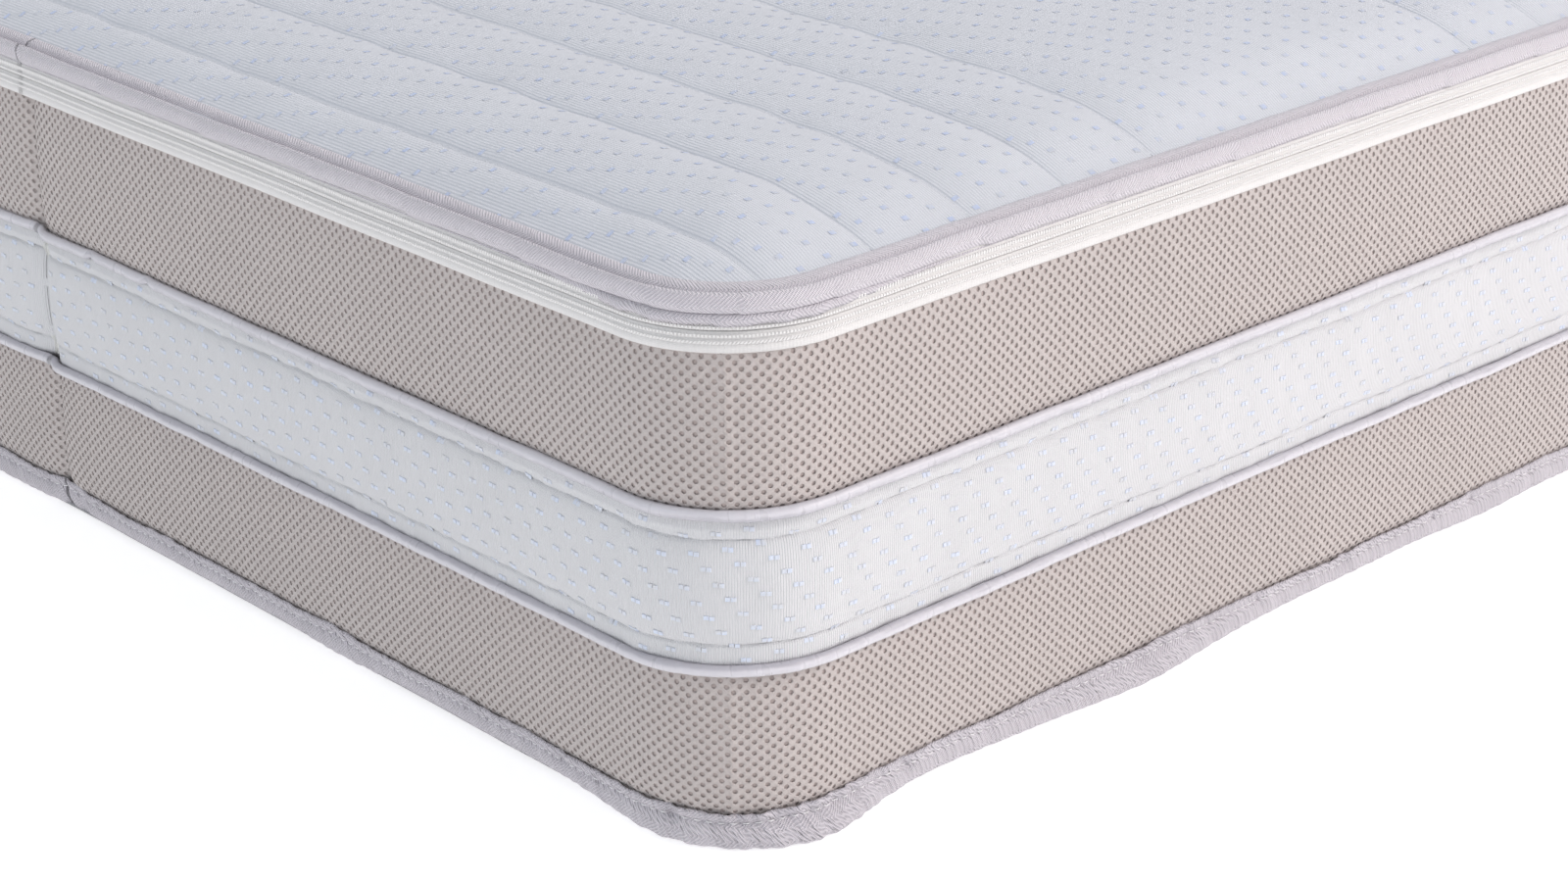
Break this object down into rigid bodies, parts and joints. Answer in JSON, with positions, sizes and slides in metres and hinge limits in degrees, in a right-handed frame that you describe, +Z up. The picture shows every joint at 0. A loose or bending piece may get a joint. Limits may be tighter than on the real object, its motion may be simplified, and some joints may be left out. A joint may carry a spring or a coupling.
{
  "type": "pressure relief mattress",
  "caption": "Thick foam mattress with rounded corners: quilted zip-off top, mesh and padded knit side bands, satin pipings and bound edges over a layered foam core.",
  "frame": {"origin": "middle of the underside, on the floor plane", "axes": "+Z up, +Y along the length towards the head end, +X across the width towards the side with the parked zip slider"},
  "size_m": [0.9, 2, 0.2598],
  "materials": {
    "panel_knit": "matte",
    "band_knit": "matte",
    "thread": "satin",
    "wadding": "matte",
    "backing_fleece": "matte",
    "binding_tape": "satin",
    "zip_tape": "matte",
    "zip_coil": "satin",
    "zip_metal": "gloss",
    "spacer_mesh": "matte",
    "piping_satin": "satin",
    "piping_core": "matte",
    "felt": "matte",
    "base_cloth": "matte",
    "liner_knit": "matte",
    "memory_foam": "matte",
    "relief_foam": "matte",
    "support_foam": "matte",
    "firm_foam": "matte"
  },
  "bodies": {
    "mattress": {"zip_lower_tape": "zip_tape", "zip_lower_coil": "zip_coil", "zip_lower_stops": "zip_metal", "upper_mesh_band": "spacer_mesh", "upper_piping_sleeve": "piping_satin", "upper_piping_cord": "piping_core", "middle_band_ticking": "band_knit", "middle_band_wadding": "wadding", "lower_piping_sleeve": "piping_satin", "lower_piping_cord": "piping_core", "lower_mesh_band": "spacer_mesh", "side_felt": "felt", "bottom_edge_tape": "binding_tape", "base_panel": "base_cloth", "inner_liner": "liner_knit", "comfort_layer": "memory_foam", "relief_layer": "relief_foam", "support_core": "support_foam", "base_foam": "firm_foam", "side_bolster_left": "firm_foam", "side_bolster_right": "firm_foam", "foot_bolster": "firm_foam", "head_bolster": "firm_foam"},
    "top_cover": {"top_ticking": "panel_knit", "top_quilting_thread": "thread", "top_wadding": "wadding", "top_backing": "backing_fleece", "top_edge_tape": "binding_tape", "zip_upper_tape": "zip_tape", "zip_upper_coil": "zip_coil", "zip_upper_stops": "zip_metal"},
    "slider": {"zip_slider": "zip_metal"},
    "pull_tab": {"zip_pull_tab": "zip_metal"}
  },
  "joints": [
    {"name": "top_cover_lift", "type": "slide", "parent": "mattress", "child": "top_cover", "axis": [0, 0, 1], "range_m": [0, 0.3]},
    {"name": "slider_run", "type": "slide", "parent": "mattress", "child": "slider", "axis": [0, -1, 0], "range_m": [0, 1.74]},
    {"name": "pull_tab_swing", "type": "hinge", "parent": "slider", "child": "pull_tab", "pos_m": [0.44445, 0.891, 0.222], "axis": [0, 0, 1], "range_deg": [0, 180]}
  ]
}
